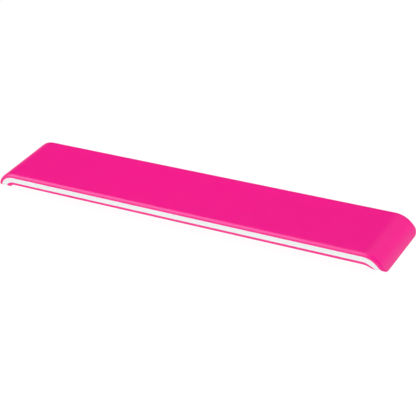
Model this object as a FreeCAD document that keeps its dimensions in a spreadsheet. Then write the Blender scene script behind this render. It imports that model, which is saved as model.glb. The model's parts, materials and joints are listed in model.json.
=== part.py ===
import FreeCAD, Part
import math
import os
import Sketcher

# Keyboard wrist rest: a low arched bridge built from three stacked mouldings (pink top cover, white
# middle frame, pink base cover), held together by screws from the underside. It stands on a rubber
# strip in each leg. Four feet fold out of pockets in the underside to raise it.
# Frame: origin on the resting plane at the middle, +X along the length, +Y to the back, +Z up.

DRIVING_SIZES = [
    ("length", 490, "over the lower edges of the two legs"),
    ("depth", 84, "front face to back face"),
    ("height", 21.4, "resting plane to the flat top"),
    ("grip_proud", 0.5, "rubber strips below the plastic of the legs"),
    ("top_band", 4.15, "top cover, as seen on the front edge"),
    ("middle_band", 6.1, "middle frame, as seen on the front edge"),
    ("base_band", 3.25, "base cover, as seen on the front edge"),
    ("bend_radius", 24.7, "outer radius where the top turns down into a leg"),
    ("bend_angle", 78, "degrees that it turns through"),
    ("corner_round", 9.8, "bottom corners of the legs, seen from the side"),
    ("edge_round", 3.9, "long top edges of the top cover"),
    ("top_skin", 2.4, "wall of the top cover"),
    ("base_skin", 2.0, "wall of the base cover"),
    ("rim_wall", 2.2, "upright rim of both covers"),
    ("frame_wall", 2.8, "long walls of the middle frame"),
    ("leg_end", 2.6, "closed end of the covers' hollows above the leg's bottom"),
    ("bar_width", 12, "cross bars of the middle frame"),
    ("window_end", 214, "outer end of the middle frame's last window"),
    ("screw_near", 50, "inner screws and cross bars from the middle"),
    ("screw_far", 150, "outer screws and cross bars from the middle"),
    ("screw_side", 26, "screws from the centre line"),
    ("screw_shank", 1.45, "radius"),
    ("screw_head", 2.8, "radius"),
    ("screw_head_height", 1.4, "head"),
    ("screw_length", 8, "under the head"),
    ("screw_tip", 1.2, "pointed end of the shank"),
    ("screw_slot", 0.8, "width of the cross recess"),
    ("screw_slot_span", 3.2, "length of the cross recess"),
    ("screw_slot_depth", 0.8, "depth of the cross recess"),
    ("screw_seat", 1.6, "plastic under the screw's head"),
    ("boss_radius", 3.2, "screw bosses of the top cover"),
    ("post_radius", 4.8, "screw posts of the base cover"),
    ("running_gap", 0.3, "general radial gap around screws and bosses"),
    ("rib", 1.2, "thickness of the ribs"),
    ("rib_pitch", 25, "from one cross rib to the next"),
    ("rib_side", 13, "long ribs of the top cover from the centre line"),
    ("base_rib_side", 4, "long ribs of the base cover from the centre line"),
    ("rib_end", 205, "end of the long ribs from the middle"),
    ("bite", 0.2, "overlap of a rib or boss with the wall that it grows from"),
    ("hinge_place", 196, "foot hinges from the middle"),
    ("foot_side", 22, "middle of a foot from the centre line"),
    ("foot_width", 26, "along the hinge"),
    ("foot_half", 2.3, "half the thickness of a foot, and the radius of its barrel"),
    ("foot_recess", 0.1, "folded foot above the underside"),
    ("foot_arm", 13.5, "hinge axis to the shoulder that the pad sits against"),
    ("tongue_length", 2, "tongue under the pad"),
    ("tongue_half", 1.1, "half the tongue's thickness"),
    ("pad_straight", 1.2, "flat stretch of the pad before its round tip"),
    ("core_wall", 1.5, "walls round the hollows in the back of a foot"),
    ("core_start", 4, "hinge axis to the hollows"),
    ("groove_width", 0.9, "finger grooves on the face of a foot"),
    ("groove_depth", 0.4, "finger grooves"),
    ("groove_pitch", 2, "finger grooves"),
    ("groove_margin", 3, "ends of the grooves from the sides of the foot"),
    ("pin_radius", 1, "hinge pins"),
    ("pin_gap", 0.05, "radial clearance of the foot on its pin"),
    ("pocket_gap", 0.4, "foot to the sides and roof of its pocket"),
    ("pocket_wall", 1.6, "walls and roof of a pocket"),
    ("pocket_heel", 3.1, "hinge axis to the pocket's outer end"),
    ("scoop_length", 8, "finger scoop beyond the tip of a folded foot"),
    ("scoop_half", 7, "half the width of the finger scoop"),
    ("grip_length", 60, "rubber strips"),
    ("grip_width", 4, "rubber strips"),
    ("grip_depth", 1.5, "rubber strips, sunk into the middle frame"),
]
CROSS_RIBS = range(-8, 9)
FINGER_GROOVES = range(3)
PARTS_FOLDER = "parts"

doc = FreeCAD.newDocument("wrist_rest")
sheet = doc.addObject("Spreadsheet::Sheet", "Sheet")


class Size:
    """A length in the sheet, or one worked out from it: its number and its expression."""

    def __init__(self, value, text):
        self.value = float(value)
        self.text = text

    def join(self, other, sign, value):
        text = other.text if isinstance(other, Size) else repr(other)
        return Size(value, f"({self.text} {sign} {text})")

    def __add__(self, other):
        return self.join(other, "+", self.value + number(other))

    def __sub__(self, other):
        return self.join(other, "-", self.value - number(other))

    def __mul__(self, other):
        return self.join(other, "*", self.value * number(other))

    def __truediv__(self, other):
        return self.join(other, "/", self.value / number(other))

    def __neg__(self):
        return self * -1


def number(size):
    return size.value if isinstance(size, Size) else float(size)


def sine(angle):
    return Size(math.sin(math.radians(angle.value)), f"sin({angle.text})")


def cosine(angle):
    return Size(math.cos(math.radians(angle.value)), f"cos({angle.text})")


def fill_sheet():
    """Writes the driving sizes into the sheet and returns them by name."""
    sizes = {}
    for row, (name, value, note) in enumerate(DRIVING_SIZES, start=1):
        sheet.set(f"A{row}", name)
        sheet.set(f"B{row}", str(value))
        sheet.set(f"C{row}", note)
        sheet.setAlias(f"B{row}", name)
        sizes[name] = Size(value, f"Sheet.{name}")
    doc.recompute()
    return sizes


def bind(item, name, size):
    """Gives a property its value and the expression that drives it."""
    if isinstance(size, Size):
        item.setExpression(name, size.text)
    else:
        setattr(item, name, size)


s = fill_sheet()
HALF = s["length"] / 2
SIDE = s["depth"] / 2
TOP = s["height"]
SOLE = s["grip_proud"]
BEND_Z = TOP - s["bend_radius"]
BEND_X = (
    HALF
    - s["bend_radius"] * sine(s["bend_angle"])
    - (BEND_Z - SOLE + s["bend_radius"] * cosine(s["bend_angle"]))
    * cosine(s["bend_angle"])
    / sine(s["bend_angle"])
)
FRAME_DEPTH = s["top_band"] + s["middle_band"]
FULL_DEPTH = FRAME_DEPTH + s["base_band"]
FRAME_TOP = TOP - s["top_band"]
FRAME_BOTTOM = TOP - FRAME_DEPTH
UNDERSIDE = TOP - FULL_DEPTH
BASE_FLOOR = UNDERSIDE + s["base_skin"]
COVER_ROOF = TOP - s["top_skin"]
SCREW_SEAT = FRAME_BOTTOM - s["screw_seat"]
AXIS_Z = UNDERSIDE + s["foot_recess"] + s["foot_half"]
POCKET_ROOF = AXIS_Z + s["foot_half"] + s["pocket_gap"]
POCKET_HALF = s["foot_width"] / 2 + s["pocket_gap"]
PAD_TIP = s["foot_arm"] + s["pad_straight"] + s["foot_half"]
POCKET_REACH = PAD_TIP + s["pocket_gap"]
SCREW_X = [-s["screw_far"], -s["screw_near"], s["screw_near"], s["screw_far"]]


def new_body(name):
    body = doc.addObject("PartDesign::Body", name)
    body.Label = name
    return body


def origin_plane(body, role):
    return next(item for item in body.Origin.OriginFeatures if item.Role == role)


def new_sketch(body, name, role):
    sketch = body.newObject("Sketcher::SketchObject", f"{body.Name}_{name}")
    sketch.AttachmentSupport = [(origin_plane(body, role), "")]
    sketch.MapMode = "FlatFace"
    return sketch


def constrain(sketch, kind, places, size):
    """A sketch dimension driven by the sheet."""
    index = sketch.addConstraint(Sketcher.Constraint(kind, *places, size.value))
    sketch.setExpression(f"Constraints[{index}]", size.text)


def arch_half(sketch, side, depth, bottom):
    """One end of an arched line at a depth under the outer skin: its bend, then its straight leg.
    A deep line meets the bottom while it still bends, and has no straight leg.
    Returns the bend's id, and the id and the point number of what ends at the bottom."""
    radius = s["bend_radius"] - depth
    across = radius * sine(s["bend_angle"])
    down = radius * cosine(s["bend_angle"])
    drop = BEND_Z.value + down.value - bottom.value
    has_leg = drop > 0
    quarter = math.pi / 2
    bend = math.radians(s["bend_angle"].value)
    if not has_leg:
        bend = math.acos((bottom.value - BEND_Z.value) / radius.value)
    centre = FreeCAD.Vector(side * BEND_X.value, BEND_Z.value, 0)
    circle = Part.Circle(centre, FreeCAD.Vector(0, 0, 1), radius.value)
    turn = (quarter - bend, quarter) if side > 0 else (quarter, quarter + bend)
    arc = sketch.addGeometry(Part.ArcOfCircle(circle, *turn), False)
    arc_low = 1 if side > 0 else 2
    constrain(sketch, "Radius", (arc,), radius)
    constrain(sketch, "DistanceX", (-1, 1, arc, 3), BEND_X * side)
    constrain(sketch, "DistanceY", (-1, 1, arc, 3), BEND_Z)
    if not has_leg:
        constrain(sketch, "DistanceY", (-1, 1, arc, arc_low), bottom)
        return arc, arc, arc_low
    start = centre + FreeCAD.Vector(side * across.value, down.value, 0)
    end = FreeCAD.Vector(start.x + side * drop / math.tan(bend), bottom.value, 0)
    leg = sketch.addGeometry(Part.LineSegment(start, end), False)
    sketch.addConstraint(Sketcher.Constraint("Tangent", arc, arc_low, leg, 1))
    constrain(sketch, "DistanceX", (arc, 3, arc, arc_low), across * side)
    constrain(sketch, "DistanceY", (-1, 1, leg, 2), bottom)
    return arc, leg, 2


def arch_sketch(body, name, outer, inner, bottom):
    """Closed outline of an arched layer between two depths under the outer skin."""
    sketch = new_sketch(body, name, "XZ_Plane")
    bottoms = {1: [], -1: []}
    for depth in (outer, inner):
        arcs = {}
        for side in bottoms:
            arcs[side], *lowest = arch_half(sketch, side, depth, bottom)
            bottoms[side].append(lowest)
        height = TOP.value - depth.value
        ends = [FreeCAD.Vector(x, height, 0) for x in (-BEND_X.value, BEND_X.value)]
        flat = sketch.addGeometry(Part.LineSegment(*ends), False)
        sketch.addConstraint(Sketcher.Constraint("Tangent", arcs[-1], 1, flat, 1))
        sketch.addConstraint(Sketcher.Constraint("Tangent", flat, 2, arcs[1], 2))
    for pair in bottoms.values():
        ends = [sketch.getPoint(*lowest) for lowest in pair]
        sole = sketch.addGeometry(Part.LineSegment(*ends), False)
        for position, lowest in enumerate(pair, start=1):
            sketch.addConstraint(Sketcher.Constraint("Coincident", *lowest, sole, position))
    return sketch


def corner_sketch(body):
    """What the rounded bottom corners take away, seen from the side."""
    sketch = new_sketch(body, "corners", "YZ_Plane")
    radius = s["corner_round"]
    for side in (-1, 1):
        corner = FreeCAD.Vector(side * SIDE.value, SOLE.value, 0)
        level = FreeCAD.Vector(corner.x - side * radius.value, corner.y, 0)
        upper = FreeCAD.Vector(corner.x, corner.y + radius.value, 0)
        centre = FreeCAD.Vector(level.x, upper.y, 0)
        circle = Part.Circle(centre, FreeCAD.Vector(0, 0, 1), radius.value)
        turn = (1.5 * math.pi, 2 * math.pi) if side > 0 else (math.pi, 1.5 * math.pi)
        low, high = (1, 2) if side > 0 else (2, 1)
        bottom_line = sketch.addGeometry(Part.LineSegment(level, corner), False)
        face_line = sketch.addGeometry(Part.LineSegment(corner, upper), False)
        arc = sketch.addGeometry(Part.ArcOfCircle(circle, *turn), False)
        sketch.addConstraint(Sketcher.Constraint("Coincident", bottom_line, 2, face_line, 1))
        sketch.addConstraint(Sketcher.Constraint("Tangent", bottom_line, 1, arc, low))
        sketch.addConstraint(Sketcher.Constraint("Tangent", face_line, 2, arc, high))
        sketch.addConstraint(Sketcher.Constraint("Horizontal", bottom_line))
        sketch.addConstraint(Sketcher.Constraint("Vertical", face_line))
        constrain(sketch, "DistanceX", (-1, 1, face_line, 1), SIDE * side)
        constrain(sketch, "DistanceY", (-1, 1, face_line, 1), SOLE)
        constrain(sketch, "Radius", (arc,), radius)
    return sketch


def rectangles(body, name, boxes):
    """Sketch of upright rectangles on the XY plane, each (x low, x high, y low, y high)."""
    sketch = new_sketch(body, name, "XY_Plane")
    for x_low, x_high, y_low, y_high in boxes:
        corners = [(x_low, y_low), (x_high, y_low), (x_high, y_high), (x_low, y_high)]
        spots = [FreeCAD.Vector(x.value, y.value, 0) for x, y in corners]
        first = sketch.GeometryCount
        for index in range(4):
            edge = Part.LineSegment(spots[index], spots[(index + 1) % 4])
            sketch.addGeometry(edge, False)
        for index in range(4):
            joint = (first + index, 2, first + (index + 1) % 4, 1)
            sketch.addConstraint(Sketcher.Constraint("Coincident", *joint))
            kind = "Vertical" if index % 2 else "Horizontal"
            sketch.addConstraint(Sketcher.Constraint(kind, first + index))
        constrain(sketch, "DistanceX", (-1, 1, first, 1), x_low)
        constrain(sketch, "DistanceY", (-1, 1, first, 1), y_low)
        constrain(sketch, "DistanceX", (-1, 1, first + 2, 1), x_high)
        constrain(sketch, "DistanceY", (-1, 1, first + 2, 1), y_high)
    return sketch


def circles(body, name, spots, radius):
    """Sketch of equal circles on the XY plane."""
    sketch = new_sketch(body, name, "XY_Plane")
    for x, y in spots:
        centre = FreeCAD.Vector(x.value, y.value, 0)
        circle = Part.Circle(centre, FreeCAD.Vector(0, 0, 1), radius.value)
        index = sketch.addGeometry(circle, False)
        constrain(sketch, "Radius", (index,), radius)
        constrain(sketch, "DistanceX", (-1, 1, index, 3), x)
        constrain(sketch, "DistanceY", (-1, 1, index, 3), y)
    return sketch


def feature(body, kind, name, sketch, length, symmetric=False):
    """Pad or Pocket of a sketch. A length of None goes through everything, both ways."""
    made = body.newObject(f"PartDesign::{kind}", f"{body.Name}_{name}")
    made.Profile = sketch
    if length is None:
        made.Type = "ThroughAll"
        made.Midplane = True
    else:
        made.Midplane = symmetric
        bind(made, "Length", length)
    sketch.Visibility = False
    body.Tip = made
    doc.recompute()
    return made


def upright(body, kind, name, sketch, low, high):
    """Pad or Pocket of an XY sketch between two heights. A pad grows up, and a pocket cuts down."""
    level = low if kind == "Pad" else high
    sketch.setExpression("AttachmentOffset.Base.z", level.text)
    return feature(body, kind, name, sketch, high - low)


def place(item, x, y, z, rotation=None):
    """Puts a primitive or a body at sizes from the sheet."""
    item.Placement = FreeCAD.Placement(FreeCAD.Vector(), rotation or FreeCAD.Rotation())
    for axis, size in zip("xyz", (x, y, z)):
        if isinstance(size, Size):
            item.setExpression(f"Placement.Base.{axis}", size.text)


def block(body, kind, name, x_range, y_range, z_range):
    """Additive or Subtractive box between low and high sizes along each axis."""
    made = body.newObject(f"PartDesign::{kind}Box", f"{body.Name}_{name}")
    bind(made, "Length", x_range[1] - x_range[0])
    bind(made, "Width", y_range[1] - y_range[0])
    bind(made, "Height", z_range[1] - z_range[0])
    place(made, x_range[0], y_range[0], z_range[0])
    body.Tip = made
    return made


def rod(body, kind, name, start, height, radius, along_y=False):
    """Additive or Subtractive cylinder from a start point, along Z or along Y."""
    made = body.newObject(f"PartDesign::{kind}Cylinder", f"{body.Name}_{name}")
    bind(made, "Radius", radius)
    bind(made, "Height", height)
    turn = FreeCAD.Rotation(FreeCAD.Vector(1, 0, 0), -90 if along_y else 0)
    place(made, *start, rotation=turn)
    body.Tip = made
    return made


def depth_under_skin(point):
    """How far a point lies under the outer skin of the arch."""
    reach = abs(point.x) - BEND_X.value
    rise = point.z - BEND_Z.value
    if reach <= 0:
        return TOP.value - point.z
    angle = min(math.atan2(reach, rise), math.radians(s["bend_angle"].value))
    return s["bend_radius"].value - reach * math.sin(angle) - rise * math.cos(angle)


def long_outer_edges(shape):
    """Names of the edges where the outer skin meets the front and back faces."""
    names = []
    for index, edge in enumerate(shape.Edges, start=1):
        middle = edge.valueAt((edge.FirstParameter + edge.LastParameter) / 2)
        ends = [vertex.Point for vertex in edge.Vertexes]
        on_side = all(abs(abs(spot.y) - SIDE.value) < 1e-4 for spot in [middle, *ends])
        on_skin = all(abs(depth_under_skin(spot)) < 1e-3 for spot in [middle, *ends])
        if on_side and on_skin:
            names.append(f"Edge{index}")
    return names


def arched_layer(name, outer, inner):
    """A body with the full depth of one arched layer, before its corners are rounded."""
    body = new_body(name)
    feature(body, "Pad", "layer", arch_sketch(body, "layer_outline", outer, inner, SOLE),
            s["depth"], symmetric=True)
    return body


def round_corners(body):
    feature(body, "Pocket", "corner_cut", corner_sketch(body), None)


def hollow(body, outer, inner):
    """Arched hollow inside the rim of a cover, closed above the bottom of the legs."""
    outline = arch_sketch(body, "hollow_outline", outer, inner, SOLE + s["leg_end"])
    feature(body, "Pocket", "hollow", outline, s["depth"] - s["rim_wall"] * 2, symmetric=True)


def low_ribs(body, side, low, high):
    """Two long ribs and a row of cross ribs that grow from the wall of a cover."""
    half_rib = s["rib"] / 2
    reach = SIDE - s["rim_wall"] / 2
    long_boxes = [
        (-s["rib_end"], s["rib_end"], side * sign - half_rib, side * sign + half_rib)
        for sign in (-1, 1)
    ]
    cross_boxes = [
        (s["rib_pitch"] * index - half_rib, s["rib_pitch"] * index + half_rib, -reach, reach)
        for index in CROSS_RIBS
    ]
    for kind, boxes in (("long", long_boxes), ("cross", cross_boxes)):
        sketch = rectangles(body, f"{kind}_ribs_outline", boxes)
        upright(body, "Pad", f"{kind}_ribs", sketch, low, high)


def screw_spots():
    return [(x, s["screw_side"] * sign) for x in SCREW_X for sign in (-1, 1)]


def at_screws(body, kind, name, radius, low, high):
    """The same post or hole at every screw."""
    sketch = circles(body, f"{name}_outline", screw_spots(), radius)
    upright(body, kind, name, sketch, low, high)


def make_top_cover():
    """Pink cover: rounded long edges, a hollow with ribs, and screw bosses."""
    body = arched_layer("top_cover", s["top_band"] * 0, s["top_band"])
    rounding = body.newObject("PartDesign::Fillet", "top_cover_edge_rounding")
    rounding.Base = (doc.getObject("top_cover_layer"), long_outer_edges(body.Shape))
    bind(rounding, "Radius", s["edge_round"])
    body.Tip = rounding
    doc.recompute()
    round_corners(body)
    hollow(body, s["top_skin"], s["top_band"] + s["bite"])
    at_screws(body, "Pad", "bosses", s["boss_radius"], FRAME_BOTTOM, COVER_ROOF + s["bite"])
    low_ribs(body, s["rib_side"], FRAME_TOP, COVER_ROOF + s["bite"])
    at_screws(body, "Pocket", "pilots", s["screw_shank"] + s["pin_gap"],
              FRAME_BOTTOM - s["bite"], SCREW_SEAT + s["screw_length"] + s["running_gap"])
    return body


def window_boxes():
    """Openings between the cross bars of the middle frame."""
    edge = SIDE - s["frame_wall"]
    half_bar = s["bar_width"] / 2
    spans = [
        (-s["screw_near"] + half_bar, s["screw_near"] - half_bar),
        (s["screw_near"] + half_bar, s["screw_far"] - half_bar),
        (s["screw_far"] + half_bar, s["window_end"]),
    ]
    mirrored = [(-high, -low) for low, high in spans[1:]]
    return [(low, high, -edge, edge) for low, high in spans + mirrored]


def make_middle_frame():
    """White frame: arched long walls, cross bars with holes for the bosses, slots for the grips."""
    body = arched_layer("middle_frame", s["top_band"], FRAME_DEPTH)
    round_corners(body)
    windows = rectangles(body, "windows_outline", window_boxes())
    feature(body, "Pocket", "windows", windows, None)
    at_screws(body, "Pocket", "boss_holes", s["boss_radius"] + s["running_gap"],
              FRAME_BOTTOM - s["bite"], FRAME_TOP + s["bite"])
    for sign in (-1, 1):
        x_low = grip_centre() * sign - s["grip_width"] / 2
        block(body, "Subtractive", "left_slot" if sign < 0 else "right_slot",
              (x_low, x_low + s["grip_width"]),
              (-s["grip_length"] / 2, s["grip_length"] / 2),
              (SOLE - s["bite"], SOLE + s["grip_depth"]))
    return body


def grip_centre():
    """Middle of the white layer's bottom face, from the middle of the rest."""
    slope = sine(s["bend_angle"])
    return HALF - (s["top_band"] + s["middle_band"] / 2) / slope - s["running_gap"]


def foot_spots():
    """Name, sign along X and sign along Y of each foot."""
    for x_name, x_sign in (("left", -1), ("right", 1)):
        for y_name, y_sign in (("front", -1), ("back", 1)):
            yield f"{y_name}_{x_name}", x_sign, y_sign


def span_from_hinge(x_sign, near, far):
    """X range between two distances from a hinge towards the middle of the rest."""
    hinge = s["hinge_place"] * x_sign
    ends = [hinge - near * x_sign, hinge - far * x_sign]
    return tuple(sorted(ends, key=number))


def pocket_plan(grow):
    """Plan rectangles of the four foot pockets, and of their finger scoops, grown all round."""
    pockets = []
    scoops = []
    for _, x_sign, y_sign in foot_spots():
        middle = s["foot_side"] * y_sign
        spaces = (
            (pockets, -s["pocket_heel"], POCKET_REACH, POCKET_HALF),
            (scoops, POCKET_REACH - s["pocket_wall"], POCKET_REACH + s["scoop_length"],
             s["scoop_half"]),
        )
        for boxes, near, far, half in spaces:
            low, high = span_from_hinge(x_sign, near, far)
            y_low = middle - half - grow
            y_high = middle + half + grow
            boxes.append((low - grow, high + grow, y_low, y_high))
    return {"pockets": pockets, "scoops": scoops}


def make_base_cover():
    """Pink lower cover: a shallow arched tray with screw posts and a pocket for each foot."""
    body = arched_layer("base_cover", FRAME_DEPTH, FULL_DEPTH)
    round_corners(body)
    hollow(body, FRAME_DEPTH - s["bite"], FULL_DEPTH - s["base_skin"])
    grown = BASE_FLOOR - s["bite"]
    at_screws(body, "Pad", "posts", s["post_radius"], grown, FRAME_BOTTOM)
    low_ribs(body, s["base_rib_side"], grown, FRAME_BOTTOM)
    for name, boxes in pocket_plan(s["pocket_wall"]).items():
        sketch = rectangles(body, f"{name}_walls_outline", boxes)
        upright(body, "Pad", f"{name}_walls", sketch, grown, POCKET_ROOF + s["pocket_wall"])
    for name, boxes in pocket_plan(s["pocket_wall"] * 0).items():
        sketch = rectangles(body, f"{name}_outline", boxes)
        upright(body, "Pocket", name, sketch, UNDERSIDE - s["bite"], POCKET_ROOF)
    for name, x_sign, y_sign in foot_spots():
        start = (s["hinge_place"] * x_sign, s["foot_side"] * y_sign - pin_half(), AXIS_Z)
        rod(body, "Subtractive", f"{name}_pin_hole", start, pin_half() * 2, s["pin_radius"],
            along_y=True)
    at_screws(body, "Pocket", "wells", s["screw_head"] + s["running_gap"],
              UNDERSIDE - s["bite"], SCREW_SEAT)
    at_screws(body, "Pocket", "screw_holes", s["screw_shank"] + s["running_gap"] / 2,
              UNDERSIDE, FRAME_BOTTOM + s["bite"])
    return body


def pin_half():
    """Half the length of a hinge pin, which ends flush with the outside of its pocket."""
    return POCKET_HALF + s["pocket_wall"]


def make_foot(name, x_sign, y_sign):
    """Folding foot, drawn along +X from its hinge axis and then turned to face the middle."""
    body = new_body(f"{name}_foot")
    half_width = s["foot_width"] / 2
    thick = s["foot_half"]
    rod(body, "Additive", "barrel", (0, -half_width, 0), s["foot_width"], thick, along_y=True)
    block(body, "Additive", "plate", (s["foot_arm"] * 0, s["foot_arm"]),
          (-half_width, half_width), (-thick, thick))
    block(body, "Additive", "tongue", (s["foot_arm"], s["foot_arm"] + s["tongue_length"]),
          (-half_width, half_width), (-s["tongue_half"], s["tongue_half"]))
    rod(body, "Subtractive", "bore", (0, -half_width, 0), s["foot_width"],
        s["pin_radius"] + s["pin_gap"], along_y=True)
    core_end = s["foot_arm"] - s["core_wall"]
    core_sides = [
        (-half_width + s["core_wall"], -s["core_wall"] / 2),
        (s["core_wall"] / 2, half_width - s["core_wall"]),
    ]
    for index, y_range in enumerate(core_sides, start=1):
        block(body, "Subtractive", f"core_{index}", (s["core_start"], core_end), y_range,
              (-thick + s["core_wall"], thick + s["bite"]))
    groove_y = half_width - s["groove_margin"]
    for index in FINGER_GROOVES:
        start = s["foot_arm"] - s["groove_pitch"] * (index + 1)
        block(body, "Subtractive", f"groove_{index + 1}", (start, start + s["groove_width"]),
              (-groove_y, groove_y), (-thick - s["bite"], -thick + s["groove_depth"]))
    turn_and_place(body, x_sign, y_sign)
    return body


def make_foot_pad(name, x_sign, y_sign):
    """Rubber pad with a round tip, slotted over the tongue of a foot."""
    body = new_body(f"{name}_foot_pad")
    half_width = s["foot_width"] / 2
    thick = s["foot_half"]
    centre = s["foot_arm"] + s["pad_straight"]
    rod(body, "Additive", "tip", (centre, -half_width, 0), s["foot_width"], thick, along_y=True)
    block(body, "Additive", "shank", (s["foot_arm"], centre), (-half_width, half_width),
          (-thick, thick))
    block(body, "Subtractive", "clearance", (s["foot_arm"] - thick, s["foot_arm"]),
          (-half_width, half_width), (-thick, thick))
    block(body, "Subtractive", "slot",
          (s["foot_arm"] - s["bite"], s["foot_arm"] + s["tongue_length"]),
          (-half_width, half_width), (-s["tongue_half"], s["tongue_half"]))
    turn_and_place(body, x_sign, y_sign)
    return body


def turn_and_place(body, x_sign, y_sign):
    turn = FreeCAD.Rotation(FreeCAD.Vector(0, 0, 1), 180 if x_sign > 0 else 0)
    place(body, s["hinge_place"] * x_sign, s["foot_side"] * y_sign, AXIS_Z, rotation=turn)


def make_hinge_pin(name, x_sign, y_sign):
    body = new_body(f"{name}_hinge_pin")
    rod(body, "Additive", "shaft", (0, -pin_half(), 0), pin_half() * 2, s["pin_radius"],
        along_y=True)
    turn_and_place(body, x_sign, y_sign)
    return body


def make_leg_grip(name, sign):
    """Rubber strip with round ends that the leg stands on."""
    body = new_body(name)
    radius = s["grip_width"] / 2
    reach = s["grip_length"] / 2 - radius
    height = SOLE + s["grip_depth"]
    for index, y_sign in enumerate((-1, 1), start=1):
        rod(body, "Additive", f"end_{index}", (0, reach * y_sign, 0), height, radius)
        if index == 1:
            block(body, "Additive", "strip", (-radius, radius), (-reach, reach),
                  (SOLE * 0, height))
    place(body, grip_centre() * sign, 0, 0)
    return body


def make_screw():
    """One self-tapping screw, point up, with its head's seat at z = 0. It is copied, not exported."""
    body = new_body("screw_pattern")
    head = s["screw_head_height"]
    shank = s["screw_length"] - s["screw_tip"]
    rod(body, "Additive", "head", (0, 0, -head), head, s["screw_head"])
    rod(body, "Additive", "shank", (0, 0, 0), shank, s["screw_shank"])
    tip = body.newObject("PartDesign::AdditiveCone", "screw_tip")
    bind(tip, "Radius1", s["screw_shank"])
    bind(tip, "Radius2", s["screw_shank"] / 3)
    bind(tip, "Height", s["screw_tip"])
    place(tip, 0, 0, shank)
    body.Tip = tip
    wide = s["screw_slot_span"] / 2
    thin = s["screw_slot"] / 2
    for name, x_half, y_half in (("slot_x", wide, thin), ("slot_y", thin, wide)):
        block(body, "Subtractive", name, (-x_half, x_half), (-y_half, y_half),
              (-head - s["bite"], -head + s["screw_slot_depth"]))
    return body


def make_housing_screws():
    """All screws of the housing as one group of separate solids."""
    pattern = make_screw()
    copies = []
    for index, (x, y) in enumerate(screw_spots(), start=1):
        copy = doc.addObject("App::Link", f"screw_{index}")
        copy.LinkedObject = pattern
        copy.LinkTransform = True
        place(copy, x, y, SCREW_SEAT)
        copies.append(copy)
    group = doc.addObject("Part::Compound", "housing_screws")
    group.Label = "housing_screws"
    group.Links = copies
    return group


def make_all():
    made = [make_top_cover(), make_middle_frame(), make_base_cover(), make_housing_screws()]
    made.append(make_leg_grip("left_leg_grip", -1))
    made.append(make_leg_grip("right_leg_grip", 1))
    for name, x_sign, y_sign in foot_spots():
        made.append(make_foot(name, x_sign, y_sign))
        made.append(make_foot_pad(name, x_sign, y_sign))
        made.append(make_hinge_pin(name, x_sign, y_sign))
    doc.recompute()
    return made


def check(made):
    """Stops if any object failed to build or a sub-part has no valid shape."""
    for item in doc.Objects:
        if {"Invalid", "Error"} & set(item.State):
            raise RuntimeError(f"{item.Name} did not build: {item.State}")
    for item in made:
        if item.Shape.isNull() or not item.Shape.isValid():
            raise RuntimeError(f"{item.Label} has no valid shape")


def export(made):
    os.makedirs(PARTS_FOLDER, exist_ok=True)
    for item in made:
        item.Shape.exportStep(os.path.join(PARTS_FOLDER, f"{item.Label}.step"))
        box = item.Shape.optimalBoundingBox(False)
        print(
            f"{item.Label}: {len(item.Shape.Solids)} solid(s), {item.Shape.Volume:.0f} mm3, "
            f"x {box.XMin:.2f}..{box.XMax:.2f}, y {box.YMin:.2f}..{box.YMax:.2f}, "
            f"z {box.ZMin:.2f}..{box.ZMax:.2f}"
        )


pieces = make_all()
check(pieces)
export(pieces)
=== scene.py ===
import json
import math

import bmesh
import bpy
from mathutils import Matrix, Vector


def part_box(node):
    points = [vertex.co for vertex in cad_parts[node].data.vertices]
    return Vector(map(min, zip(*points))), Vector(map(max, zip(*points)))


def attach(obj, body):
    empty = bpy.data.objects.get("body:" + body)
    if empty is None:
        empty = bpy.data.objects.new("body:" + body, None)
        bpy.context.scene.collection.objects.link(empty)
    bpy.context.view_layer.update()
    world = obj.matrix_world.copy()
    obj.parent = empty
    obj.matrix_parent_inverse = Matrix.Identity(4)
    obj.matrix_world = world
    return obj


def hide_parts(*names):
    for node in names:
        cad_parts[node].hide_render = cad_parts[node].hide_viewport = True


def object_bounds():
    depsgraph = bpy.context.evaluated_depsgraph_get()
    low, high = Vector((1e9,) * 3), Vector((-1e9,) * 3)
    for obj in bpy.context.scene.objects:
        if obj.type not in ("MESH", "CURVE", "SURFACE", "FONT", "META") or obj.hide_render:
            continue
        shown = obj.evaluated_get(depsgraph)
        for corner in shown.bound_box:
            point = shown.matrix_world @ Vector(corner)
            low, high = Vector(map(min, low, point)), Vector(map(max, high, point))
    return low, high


# Looks of a keyboard wrist rest: an arched bridge of three moulded layers, pink over white over pink,
# with four feet folded into its underside. Sizes are in millimetres and become metres in the meshes.
# Frame: origin on the resting plane at the middle, +X along the length, +Y to the back, +Z up.

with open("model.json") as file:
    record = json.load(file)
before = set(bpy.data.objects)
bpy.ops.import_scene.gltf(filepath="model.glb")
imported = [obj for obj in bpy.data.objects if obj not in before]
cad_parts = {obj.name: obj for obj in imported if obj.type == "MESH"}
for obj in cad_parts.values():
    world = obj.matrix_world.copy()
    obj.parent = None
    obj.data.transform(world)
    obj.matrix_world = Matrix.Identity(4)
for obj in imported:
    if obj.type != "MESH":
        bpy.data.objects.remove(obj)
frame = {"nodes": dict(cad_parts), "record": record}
cad_low, cad_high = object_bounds()

MM = 0.001
HALF = cad_high.x / MM
SIDE = cad_high.y / MM
TOP = cad_high.z / MM
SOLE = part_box("middle_frame")[0].z / MM

# The arch: its outer line runs flat, bends down and ends in a short straight leg.
BEND_RADIUS = 24.7
BEND_ANGLE = math.radians(78)
BEND_Z = TOP - BEND_RADIUS
LEG_START_Z = BEND_Z + BEND_RADIUS * math.cos(BEND_ANGLE)
BEND_X = HALF - BEND_RADIUS * math.sin(BEND_ANGLE) - (LEG_START_Z - SOLE) / math.tan(BEND_ANGLE)

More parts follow.
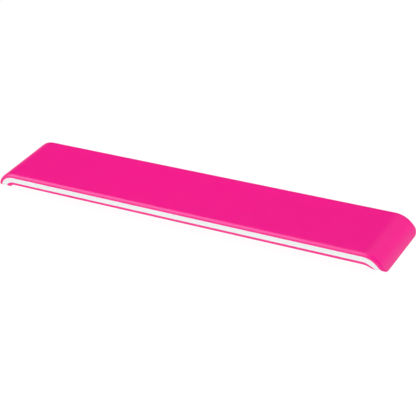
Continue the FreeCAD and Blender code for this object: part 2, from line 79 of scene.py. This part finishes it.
# Depths of the layers under the outer line, and their edges.
MIDDLE_BAND = 6.1
BASE_BAND = 3.25
COVER_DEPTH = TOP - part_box("middle_frame")[1].z / MM
FRAME_DEPTH = COVER_DEPTH + MIDDLE_BAND
FULL_DEPTH = FRAME_DEPTH + BASE_BAND
UNDERSIDE = TOP - FULL_DEPTH
CORNER_ROUND = 9.8
CORNER_Z = SOLE + CORNER_ROUND
EDGE_ROUND = 3.9
SOLE_ROUND = 1.2
SEAM_ROUND = 0.18
LOWER_ROUND = 0.45
COVER_SKIN = 2.4
BASE_SKIN = 2.0
RIM = 2.2
RIM_AT_SOLE = 2.6
FRAME_WALL = 2.8

# Pockets of the folding feet, as distances from a hinge towards the middle, and screws.
HINGE_X = 196
FOOT_SIDE = 22
POCKET_NEAR = -3.1
POCKET_FAR = 17.4
POCKET_HALF = 13.4
POCKET_ROOF = 13.0
POCKET_WALL = 1.6
POCKET_CORNER = 0.6
WALL_CORNER = 1
SCOOP_FAR = 25.4
SCOOP_HALF = 7
SCREW_X = (-150, -50, 50, 150)
SCREW_SIDE = 26
SEAT_PLASTIC = 1.6
SCREW_SEAT = TOP - FRAME_DEPTH - SEAT_PLASTIC
WELL_RADIUS = 3.1
HOLE_RADIUS = 1.6
POST_RADIUS = 4.8

# Cutters reach past the faces that they cut, and the corners of a round one stay a little apart.
OVERSHOOT = 1
ROUND_MARGIN = 0.01

# Mesh density, and the angle over which an edge is shaded sharp.
FLAT_STEPS = 48
BEND_STEPS = 32
ROW_STEPS = 12
ROWS = [2 * step / ROW_STEPS - 1 for step in range(ROW_STEPS + 1)]
ROUND_STEPS = 10
SMALL_ROUND_STEPS = 3
OBLONG_STEPS = 5
SHARP_ANGLE = math.radians(40)

# Small bevels on the CAD nodes, in metres.
EDGE_BREAK = {
    "white_foot": 0.00035,
    "grip_rubber": 0.0003,
    "pin_steel": 0.0001,
    "screw_steel": 0.00012,
}
BEVEL_ANGLE = math.radians(35)
WELD_REACH = 0.00001

# Noise stays mostly between these values.
NOISE_LOW = 0.3
NOISE_HIGH = 0.7

# Handling wears the edges of the plastic: how far from an edge in metres, the cosine of the lean at
# which it starts and is full, how much of the worn colour shows, and how much smoother it gets.
WEAR_REACH = 0.0006
WEAR_STARTS = 0.99
WEAR_FULL = 0.85
WEAR_MOST = 0.7
WEAR_POLISH = 0.08

# Sockets of a Mix node that mixes colours.
MIX_SHARE = 0
MIX_FIRST = 6
MIX_SECOND = 7
MIX_RESULT = 2

# Camera: in front on the right, above. Angles in radians, lengths in millimetres.
CAMERA_AZIMUTH = 0.599
CAMERA_ELEVATION = 0.546
CAMERA_ROLL = -0.125
CAMERA_DISTANCE = 1442.07
AIM_RIGHT = 14.544
AIM_UP = -8.067
AIM_HEIGHT = 10 + SOLE
LENS = 113.85
SENSOR = 36

# Studio. A soft box has a direction from the middle of the rest, a distance and a size in metres, a
# brightness, and what it lights: the gloss, the body colour or both.
WHITE = (1, 1, 1, 1)
BLACK = (0, 0, 0, 1)
ROOM_LIGHT = 0.38
FLOOR_REACH = 9
FLOOR_SHADE = (0.06, 0.06, 0.06, 1)
FLOOR_GLOW = 0.96
FLOOR_LIGHT = 0.5
FLOOR_LIGHT_DROP = 0.03
SOFT_LIGHTS = (
    ("key_light", (-0.479, -0.56, 0.66), 1.6, 1.65, 4.0, "gloss"),
    ("side_light", (0.75, 0.6, 0.4), 2.2, 1.4, 0.5, "gloss"),
    ("end_light", (0.4, 0.62, 0.62), 0.7, 0.4, 0.65, "gloss"),
    ("leg_light", (0.65, 0.7, -0.45), 1.5, 1.2, 2.3, "gloss"),
    ("wall_light", (-0.482, -0.706, -0.519), 1.5, 1.2, 1.2, "gloss"),
    ("left_light", (-0.95, -0.1, 0.3), 1.5, 1.4, 1.9, "body"),
    ("right_light", (0.95, -0.15, -0.1), 1.5, 1.2, 3.4, "body"),
    ("top_light", (0, 0.2, 1), 1.0, 0.5, 7.15, "body"),
    ("back_light", (-0.35, 0.85, -0.3), 1.5, 1.0, 3.2, "body"),
    ("front_light", (0.15, -0.85, -0.3), 1.2, 0.8, 6.4, "both"),
)


def make_object(name, mesh):
    """Closes a bmesh and links it as an object, smooth shaded."""
    bmesh.ops.recalc_face_normals(mesh, faces=mesh.faces)
    data = bpy.data.meshes.new(name)
    mesh.to_mesh(data)
    mesh.free()
    data.shade_smooth()
    made = bpy.data.objects.new(name, data)
    bpy.context.scene.collection.objects.link(made)
    return made


def bend_point(depth, share, lift):
    """(x, z) on the right bend, at a depth under the outer line: share 0 is its start, and share 1
    its end at a height of lift above the sole."""
    radius = BEND_RADIUS - depth
    level = SOLE + lift
    leg_start = BEND_Z + radius * math.cos(BEND_ANGLE)
    turn = BEND_ANGLE if level < leg_start else math.acos((level - BEND_Z) / radius)
    leg = max(leg_start - level, 0) / math.sin(BEND_ANGLE)
    travel = share * (radius * turn + leg)
    angle = min(travel / radius, turn)
    rest = travel - radius * angle
    x = BEND_X + radius * math.sin(angle) + rest * math.cos(BEND_ANGLE)
    z = BEND_Z + radius * math.cos(angle) - rest * math.sin(BEND_ANGLE)
    return x, z


def half_width(z, inset):
    """Half the width of the layers at a height, less an inset: the bottom corners are round."""
    drop = CORNER_Z - z
    if drop <= 0:
        return SIDE - inset
    radius = CORNER_ROUND - inset
    return SIDE - CORNER_ROUND + math.sqrt(max(radius**2 - drop**2, 0))


def make_stations():
    """Places along the arch, left to right: (side, share of the bend), or (0, x) on the flat top.
    They stand closer together towards the ends, where the corners turn fastest."""
    shares = [1 - (1 - step / BEND_STEPS) ** 2 for step in range(1, BEND_STEPS + 1)]
    flat = [BEND_X * (2 * step / FLAT_STEPS - 1) for step in range(FLAT_STEPS + 1)]
    left = [(-1, share) for share in reversed(shares)]
    return left + [(0, x) for x in flat] + [(1, share) for share in shares]


STATIONS = make_stations()


def fade(side, place):
    """0 along the deck, rising to 1 round the bottom corner of a leg."""
    if side == 0:
        return 0
    share = min(max((CORNER_Z - bend_point(0, place, 0)[1]) / CORNER_ROUND, 0), 1)
    return share * share * (3 - 2 * share)


def spot(station, row, ring):
    """Point of a ring at a station, in metres. A ring holds (depth, inset) on the long sides and
    (depth, inset) at the sole. Row runs from -1 at the front edge to 1 at the back edge."""
    side, place = station
    mix = fade(side, place)
    depth, inset = (along + (end - along) * mix for along, end in zip(*ring))
    x, z = (place, TOP - depth) if side == 0 else bend_point(depth, place, inset)
    x = x if side == 0 else x * side
    return Vector((x, row * half_width(z, inset), z)) * MM


def edge_order():
    """(station, row) positions round the edge of the grid of stations and rows."""
    last_station = len(STATIONS) - 1
    last_row = len(ROWS) - 1
    front = [(index, 0) for index in range(last_station + 1)]
    right = [(last_station, row) for row in range(1, last_row)]
    back = [(index, last_row) for index in range(last_station, -1, -1)]
    left = [(0, row) for row in range(last_row - 1, 0, -1)]
    return front + right + back + left


EDGE = edge_order()


def add_grid(mesh, ring):
    """Face of a layer from edge to edge. Returns the vertices of its edge."""
    grid = [[mesh.verts.new(spot(station, row, ring)) for row in ROWS] for station in STATIONS]
    for near, far in zip(grid, grid[1:]):
        for row in range(len(ROWS) - 1):
            mesh.faces.new((near[row], near[row + 1], far[row + 1], far[row]))
    return [grid[station][row] for station, row in EDGE]


def add_ring(mesh, ring):
    """Loop of vertices round the edge of a layer."""
    return [mesh.verts.new(spot(STATIONS[station], ROWS[row], ring)) for station, row in EDGE]


def bridge(mesh, first, second):
    """Faces between two closed loops of the same count."""
    for index, corner in enumerate(first):
        after = (index + 1) % len(first)
        mesh.faces.new((corner, first[after], second[after], second[index]))


def shell(name, rings):
    """Layer whose two faces are grids, at the first and the last ring."""
    mesh = bmesh.new()
    loops = [add_grid(mesh, rings[0])]
    loops += [add_ring(mesh, ring) for ring in rings[1:-1]]
    loops.append(add_grid(mesh, rings[-1]))
    for first, second in zip(loops, loops[1:]):
        bridge(mesh, first, second)
    return make_object(name, mesh)


def band(name, rings):
    """Layer that is a closed frame, with its rings running round its section."""
    mesh = bmesh.new()
    loops = [add_ring(mesh, ring) for ring in rings]
    for first, second in zip(loops, loops[1:] + loops[:1]):
        bridge(mesh, first, second)
    return make_object(name, mesh)


def same(depth, inset):
    """Ring that is the same on the long sides and at the sole."""
    return ((depth, inset), (depth, inset))


def rounded(depth, inward, radius, sole_radius, steps):
    """Rings over a round edge, from the face at a depth to the wall. Inward is 1 where the wall runs
    to greater depths, and -1 where it runs to smaller ones."""
    rings = []
    for step in range(steps + 1):
        angle = math.pi / 2 * (1 - step / steps)
        down = 1 - math.sin(angle)
        across = 1 - math.cos(angle)
        rings.append(tuple((depth + inward * size * down, size * across)
                           for size in (radius, sole_radius)))
    return rings


def seam(depth, inward):
    """Rings over the small round edge where two layers meet."""
    return rounded(depth, inward, SEAM_ROUND, SEAM_ROUND, SMALL_ROUND_STEPS)


def stack(name, loops):
    """Solid through closed loops of points, in millimetres, with flat ends."""
    mesh = bmesh.new()
    rings = [[mesh.verts.new(Vector(point) * MM) for point in loop] for loop in loops]
    for first, second in zip(rings, rings[1:]):
        bridge(mesh, first, second)
    mesh.faces.new(rings[0])
    mesh.faces.new(rings[-1])
    return make_object(name, mesh)


def oblong(x_range, y_range, corner, grow, z):
    """Loop of a rectangle with round corners, grown all round."""
    points = []
    centres = (
        (x_range[1] - corner, y_range[1] - corner),
        (x_range[0] + corner, y_range[1] - corner),
        (x_range[0] + corner, y_range[0] + corner),
        (x_range[1] - corner, y_range[0] + corner),
    )
    for quarter, (x, y) in enumerate(centres):
        for step in range(OBLONG_STEPS + 1):
            angle = math.pi / 2 * (quarter + step / OBLONG_STEPS)
            reach = corner + grow
            points.append((x + reach * math.cos(angle), y + reach * math.sin(angle), z))
    return points


def disc(x, y, radius, grow, z):
    """Loop of a circle, grown all round."""
    corner = radius - ROUND_MARGIN
    return oblong((x - radius, x + radius), (y - radius, y + radius), corner, grow, z)


def mouth_levels(mouth, roof, rounding):
    """(growth, height) of a cutter that leaves a round edge at the mouth of its hole."""
    levels = [(rounding, mouth - OVERSHOOT)]
    for step in range(SMALL_ROUND_STEPS + 1):
        angle = math.pi / 2 * step / SMALL_ROUND_STEPS
        levels.append((rounding * (1 - math.sin(angle)), mouth + rounding * (1 - math.cos(angle))))
    return levels + [(0, roof)]


def foot_sides():
    """(side along X, side along Y) of each foot."""
    return [(x_sign, y_sign) for x_sign in (-1, 1) for y_sign in (-1, 1)]


def hinge_span(side, near, far):
    """X range between two distances from a hinge towards the middle."""
    return sorted((side * (HINGE_X - near), side * (HINGE_X - far)))


def screw_spots():
    """(x, y) of each screw."""
    return [(x, SCREW_SIDE * sign) for x in SCREW_X for sign in (-1, 1)]


def pocket_plans(grow):
    """(x range, y range) of each foot's pocket and of its finger scoop."""
    plans = []
    for x_sign, y_sign in foot_sides():
        middle = FOOT_SIDE * y_sign
        for near, far, half in (
            (POCKET_NEAR, POCKET_FAR, POCKET_HALF),
            (POCKET_FAR - POCKET_WALL, SCOOP_FAR, SCOOP_HALF),
        ):
            x_range = hinge_span(x_sign, near - grow, far + grow)
            plans.append((x_range, (middle - half - grow, middle + half + grow)))
    return plans


def combine(target, tools, operation):
    """Applies boolean operations to a mesh, and removes the tools."""
    for tool in tools:
        change = target.modifiers.new("change", "BOOLEAN")
        change.operation = operation
        change.object = tool
        change.solver = "EXACT"
    settled = bpy.data.meshes.new_from_object(
        target.evaluated_get(bpy.context.evaluated_depsgraph_get())
    )
    target.modifiers.clear()
    target.data = settled
    for tool in tools:
        bpy.data.objects.remove(tool)


def soften(piece):
    """Smooth shading that keeps flat faces flat and edges crisp."""
    piece.data.shade_smooth()
    piece.data.set_sharp_from_angle(angle=SHARP_ANGLE)
    weighted = piece.modifiers.new("face_weighted_shading", "WEIGHTED_NORMAL")
    weighted.keep_sharp = True


def make_top_shell():
    """Pink cover with round long edges, hollow behind its skin."""
    rings = rounded(0, 1, EDGE_ROUND, SOLE_ROUND, ROUND_STEPS)
    rings += reversed(seam(COVER_DEPTH, -1))
    rings.append(((COVER_DEPTH, RIM), (COVER_DEPTH, RIM_AT_SOLE)))
    rings.append(((COVER_SKIN, RIM), (COVER_SKIN, RIM_AT_SOLE)))
    return shell("top_shell", rings)


def make_frame_band():
    """White band between the covers, with a slot for the rubber grip in each leg."""
    rings = seam(COVER_DEPTH, 1) + list(reversed(seam(FRAME_DEPTH, -1)))
    rings += [same(FRAME_DEPTH, FRAME_WALL), same(COVER_DEPTH, FRAME_WALL)]
    piece = band("frame_band", rings)
    slots = []
    for name in ("left_leg_grip", "right_leg_grip"):
        low, high = (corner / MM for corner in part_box(name))
        corner = (high.x - low.x) / 2 - ROUND_MARGIN
        slots.append(stack(f"{name}_slot", [
            oblong((low.x, high.x), (low.y, high.y), corner, grow, z)
            for grow, z in mouth_levels(SOLE, high.z, SEAM_ROUND)
        ]))
    combine(piece, slots, "DIFFERENCE")
    return piece


def make_base_shell():
    """Pink lower cover with the pockets of the feet, and the posts and wells of the screws."""
    rings = rounded(FULL_DEPTH, -1, LOWER_ROUND, LOWER_ROUND, SMALL_ROUND_STEPS + 1)
    rings += reversed(seam(FRAME_DEPTH, 1))
    rings.append(((FRAME_DEPTH, RIM), (FRAME_DEPTH, RIM_AT_SOLE)))
    rings.append(((FULL_DEPTH - BASE_SKIN, RIM), (FULL_DEPTH - BASE_SKIN, RIM_AT_SOLE)))
    piece = shell("base_shell", rings)
    in_skin = UNDERSIDE + BASE_SKIN / 2
    walls = [
        stack("wall", [oblong(x_range, y_range, WALL_CORNER, 0, z)
                       for z in (in_skin, POCKET_ROOF + POCKET_WALL)])
        for x_range, y_range in pocket_plans(POCKET_WALL)
    ]
    posts = [
        stack("post", [disc(x, y, POST_RADIUS, 0, z) for z in (in_skin, TOP - FRAME_DEPTH)])
        for x, y in screw_spots()
    ]
    combine(piece, walls + posts, "UNION")
    pockets = [
        stack("pocket", [oblong(x_range, y_range, POCKET_CORNER, grow, z)
                         for grow, z in mouth_levels(UNDERSIDE, POCKET_ROOF, LOWER_ROUND)])
        for x_range, y_range in pocket_plans(0)
    ]
    bores = (
        (WELL_RADIUS, SCREW_SEAT, SEAM_ROUND),
        (HOLE_RADIUS, TOP - FRAME_DEPTH + OVERSHOOT, 0),
    )
    wells = [
        stack("well", [disc(x, y, radius, grow, z)
                       for grow, z in mouth_levels(UNDERSIDE, roof, rounding)])
        for x, y in screw_spots()
        for radius, roof, rounding in bores
    ]
    combine(piece, pockets + wells, "DIFFERENCE")
    return piece


def node_material(name):
    """(material, node tree, Principled BSDF) of a new material."""
    material = bpy.data.materials.new(name)
    material.use_nodes = True
    tree = material.node_tree
    return material, tree, tree.nodes["Principled BSDF"]


def add_node(tree, kind, **settings):
    """New shader node with its settings."""
    node = tree.nodes.new(f"ShaderNode{kind}")
    for name, value in settings.items():
        setattr(node, name, value)
    return node


def noise(tree, grain, detail=2.0):
    """Noise whose features are about as large as grain, in metres of the object."""
    place = add_node(tree, "TexCoord")
    texture = add_node(tree, "TexNoise")
    texture.inputs["Scale"].default_value = 1 / grain
    texture.inputs["Detail"].default_value = detail
    tree.links.new(place.outputs["Object"], texture.inputs["Vector"])
    return texture.outputs["Fac"]


def spread(tree, value, low, high):
    """Noise stretched over a range."""
    node = add_node(tree, "MapRange")
    node.inputs["From Min"].default_value = NOISE_LOW
    node.inputs["From Max"].default_value = NOISE_HIGH
    node.inputs["To Min"].default_value = low
    node.inputs["To Max"].default_value = high
    tree.links.new(value, node.inputs["Value"])
    return node.outputs["Result"]


def edge_mask(tree):
    """1 along outer edges and 0 on faces, from how far a rounded normal leans off the real one."""
    bevel = add_node(tree, "Bevel", samples=4)
    bevel.inputs["Radius"].default_value = WEAR_REACH
    geometry = add_node(tree, "NewGeometry")
    dot = add_node(tree, "VectorMath", operation="DOT_PRODUCT")
    tree.links.new(bevel.outputs["Normal"], dot.inputs[0])
    tree.links.new(geometry.outputs["Normal"], dot.inputs[1])
    lean = add_node(tree, "MapRange")
    lean.inputs["From Min"].default_value = WEAR_STARTS
    lean.inputs["From Max"].default_value = WEAR_FULL
    tree.links.new(dot.outputs["Value"], lean.inputs["Value"])
    return lean.outputs["Result"]


def mix_colours(tree, share, first, second):
    """Mix of two colours, each given as numbers or as a socket."""
    node = add_node(tree, "Mix", data_type="RGBA")
    for socket, colour in ((node.inputs[MIX_FIRST], first), (node.inputs[MIX_SECOND], second)):
        if isinstance(colour, bpy.types.NodeSocket):
            tree.links.new(colour, socket)
        else:
            socket.default_value = (*colour, 1)
    tree.links.new(share, node.inputs[MIX_SHARE])
    return node.outputs[MIX_RESULT]


def grain_bump(tree, shader, layers):
    """Stacks bumps, each (grain in metres, height in metres, strength)."""
    below = None
    for grain, height, strength in layers:
        bump = add_node(tree, "Bump")
        bump.inputs["Strength"].default_value = strength
        bump.inputs["Distance"].default_value = height
        tree.links.new(noise(tree, grain), bump.inputs["Height"])
        if below is not None:
            tree.links.new(below, bump.inputs["Normal"])
        below = bump.outputs["Normal"]
    tree.links.new(below, shader.inputs["Normal"])


def moulded_plastic(name, colour, shade, worn, roughness, gloss, grain):
    """Plastic with a faint drift of colour, a fine tooled grain and edges that handling polished."""
    material, tree, shader = node_material(name)
    patches = spread(tree, noise(tree, grain=0.06), 0, 1)
    drift = mix_colours(tree, patches, colour, shade)
    edges = edge_mask(tree)
    wear = add_node(tree, "Math", operation="MULTIPLY")
    tree.links.new(edges, wear.inputs[0])
    tree.links.new(spread(tree, noise(tree, grain=0.004, detail=4), 0, WEAR_MOST), wear.inputs[1])
    tree.links.new(mix_colours(tree, wear.outputs[0], drift, worn), shader.inputs["Base Color"])
    rough = add_node(tree, "Math", operation="SUBTRACT")
    tree.links.new(spread(tree, noise(tree, grain=0.012, detail=5), *roughness), rough.inputs[0])
    polish = add_node(tree, "Math", operation="MULTIPLY")
    tree.links.new(edges, polish.inputs[0])
    polish.inputs[1].default_value = WEAR_POLISH
    tree.links.new(polish.outputs[0], rough.inputs[1])
    tree.links.new(rough.outputs[0], shader.inputs["Roughness"])
    shader.inputs["Specular IOR Level"].default_value = gloss
    grain_bump(tree, shader, grain)
    return material


def rubber(name, colour, shade, roughness):
    """Dull, mottled rubber with a fine grain."""
    material, tree, shader = node_material(name)
    patches = spread(tree, noise(tree, grain=0.002, detail=5), 0, 1)
    tree.links.new(mix_colours(tree, patches, colour, shade), shader.inputs["Base Color"])
    tree.links.new(spread(tree, noise(tree, grain=0.001), *roughness), shader.inputs["Roughness"])
    shader.inputs["Specular IOR Level"].default_value = 0.3
    grain_bump(tree, shader, [(0.0004, 0.00006, 0.5)])
    return material


def steel(name, colour, shade, roughness):
    """Metal with faint stains and a fine grain."""
    material, tree, shader = node_material(name)
    stains = spread(tree, noise(tree, grain=0.0015, detail=4), 0, 1)
    tree.links.new(mix_colours(tree, stains, colour, shade), shader.inputs["Base Color"])
    rough = spread(tree, noise(tree, grain=0.0006, detail=4), *roughness)
    tree.links.new(rough, shader.inputs["Roughness"])
    shader.inputs["Metallic"].default_value = 1
    grain_bump(tree, shader, [(0.0002, 0.00001, 0.5)])
    return material


def paint(piece, material):
    """Gives a piece one material."""
    piece.data.materials.clear()
    piece.data.materials.append(material)


def make_materials():
    """Materials by the name of their slot, and one more for the lower cover: a rougher pink, painted
    a little brighter to make up for the light it misses.
    """
    fine = [(0.02, 0.00006, 0.25), (0.0005, 0.00002, 0.4)]
    eroded = [(0.02, 0.00006, 0.25), (0.0007, 0.00004, 0.6), (0.0003, 0.00002, 0.5)]
    return {
        "pink_shell": moulded_plastic(
            "pink_plastic", (0.93, 0.001, 0.262), (0.91, 0.002, 0.259), (0.93, 0.02, 0.285),
            (0.33, 0.40), 0.42, fine),
        # Lower cover: the same pink with a rougher eroded grain. Its base colour is painted a little
        # brighter to make up for the light its band misses.
        "pink_underside_painted_brighter": moulded_plastic(
            "pink_underside_painted_brighter", (0.94, 0.001, 0.262), (0.91, 0.002, 0.257), (0.94, 0.02, 0.285),
            (0.42, 0.52), 0.4, eroded),
        "white_frame": moulded_plastic(
            "white_plastic", (0.86, 0.89, 0.885), (0.84, 0.875, 0.875), (0.91, 0.92, 0.92),
            (0.36, 0.43), 0.5, fine),
        "white_foot": moulded_plastic(
            "foot_plastic", (0.80, 0.82, 0.82), (0.77, 0.79, 0.79), (0.86, 0.87, 0.87),
            (0.42, 0.52), 0.4, fine),
        "grip_rubber": rubber("grip_rubber", (0.30, 0.31, 0.33), (0.24, 0.25, 0.27), (0.72, 0.9)),
        "pin_steel": steel("pin_steel", (0.62, 0.62, 0.64), (0.5, 0.5, 0.52), (0.2, 0.35)),
        "screw_steel": steel("screw_steel", (0.58, 0.58, 0.6), (0.42, 0.42, 0.44), (0.25, 0.45)),
    }


def bevel_node(node, width):
    """Rounds the edges of a CAD node, whose own mesh stays as it is."""
    weld = node.modifiers.new("weld", "WELD")
    weld.merge_threshold = WELD_REACH
    bevel = node.modifiers.new("bevel", "BEVEL")
    bevel.width = width
    bevel.segments = 2
    bevel.limit_method = "ANGLE"
    bevel.angle_limit = BEVEL_ANGLE
    bevel.use_clamp_overlap = True
    bevel.harden_normals = True


def make_camera():
    """Camera that looks at the rest from its azimuth and elevation, rolled a little."""
    back = Vector((
        math.sin(CAMERA_AZIMUTH) * math.cos(CAMERA_ELEVATION),
        -math.cos(CAMERA_AZIMUTH) * math.cos(CAMERA_ELEVATION),
        math.sin(CAMERA_ELEVATION),
    ))
    level = Vector((math.cos(CAMERA_AZIMUTH), math.sin(CAMERA_AZIMUTH), 0))
    rise = back.cross(level)
    right = level * math.cos(CAMERA_ROLL) + rise * math.sin(CAMERA_ROLL)
    up = rise * math.cos(CAMERA_ROLL) - level * math.sin(CAMERA_ROLL)
    aim = Vector((0, 0, AIM_HEIGHT)) + right * AIM_RIGHT + up * AIM_UP
    data = bpy.data.cameras.new("camera")
    data.sensor_width = SENSOR
    data.lens = LENS
    data.clip_start = 0.05
    data.clip_end = 50
    camera = bpy.data.objects.new("camera", data)
    turn = Matrix((right, up, back)).transposed().to_4x4()
    camera.matrix_world = Matrix.Translation((aim + back * CAMERA_DISTANCE) * MM) @ turn
    bpy.context.scene.collection.objects.link(camera)
    bpy.context.scene.camera = camera


def soft_light(name, direction, distance, size, radiance):
    """Square soft box that faces the middle of the rest, as bright as radiance all over."""
    data = bpy.data.lights.new(name, "AREA")
    data.size = size
    data.energy = radiance * math.pi * size * size
    light = bpy.data.objects.new(name, data)
    towards = Vector(direction).normalized()
    light.location = towards * distance
    light.rotation_mode = "QUATERNION"
    light.rotation_quaternion = towards.to_track_quat("Z", "Y")
    bpy.context.scene.collection.objects.link(light)
    return light


def glowing_plane(name, shade, glow):
    """Wide level plane that gives white light. Returns it with its material's parts."""
    mesh = bmesh.new()
    bmesh.ops.create_grid(mesh, x_segments=1, y_segments=1, size=FLOOR_REACH)
    plane = make_object(name, mesh)
    material, tree, shader = node_material(name)
    shader.inputs["Base Color"].default_value = shade
    shader.inputs["Roughness"].default_value = 0.9
    shader.inputs["Specular IOR Level"].default_value = 0
    shader.inputs["Emission Color"].default_value = WHITE
    shader.inputs["Emission Strength"].default_value = glow
    paint(plane, material)
    plane.visible_shadow = False
    return plane, tree, shader


def make_floor():
    """Pale floor that is clear from below, and under it the card that lights the underside."""
    floor, tree, shader = glowing_plane("floor", FLOOR_SHADE, FLOOR_GLOW)
    side = add_node(tree, "NewGeometry")
    clear = add_node(tree, "BsdfTransparent")
    mix = add_node(tree, "MixShader")
    tree.links.new(side.outputs["Backfacing"], mix.inputs[0])
    tree.links.new(shader.outputs[0], mix.inputs[1])
    tree.links.new(clear.outputs[0], mix.inputs[2])
    tree.links.new(mix.outputs[0], tree.nodes["Material Output"].inputs["Surface"])
    floor.visible_diffuse = False
    floor.visible_glossy = False
    card, _, _ = glowing_plane("floor_light", BLACK, FLOOR_LIGHT)
    card.location.z = -FLOOR_LIGHT_DROP
    card.visible_camera = False


def make_studio():
    """White room light, soft boxes and a pale floor."""
    world = bpy.data.worlds.new("room")
    bpy.context.scene.world = world
    world.use_nodes = True
    background = world.node_tree.nodes["Background"]
    background.inputs["Color"].default_value = WHITE
    background.inputs["Strength"].default_value = ROOM_LIGHT
    world.cycles_visibility.glossy = False
    world.cycles.sampling_method = "NONE"
    for name, direction, distance, size, radiance, lights in SOFT_LIGHTS:
        light = soft_light(name, direction, distance, size, radiance)
        light.visible_camera = False
        light.visible_diffuse = lights != "gloss"
        light.visible_glossy = lights != "body"
    make_floor()
    bpy.context.scene.view_settings.view_transform = "Standard"


materials = make_materials()
for piece, node, slot, look in (
    (make_top_shell(), "top_cover", "pink_shell", "pink_shell"),
    (make_frame_band(), "middle_frame", "white_frame", "white_frame"),
    (make_base_shell(), "base_cover", "pink_shell", "pink_underside_painted_brighter"),
):
    soften(piece)
    paint(piece, materials[look])
    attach(piece, "housing")
    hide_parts(node)

slot_of = {part["node"]: part["material_slot"] for part in frame["record"]["subparts"]}
for name, node in frame["nodes"].items():
    if not node.hide_render:
        paint(node, materials[slot_of[name]])
        bevel_node(node, EDGE_BREAK[slot_of[name]])

make_camera()
make_studio()
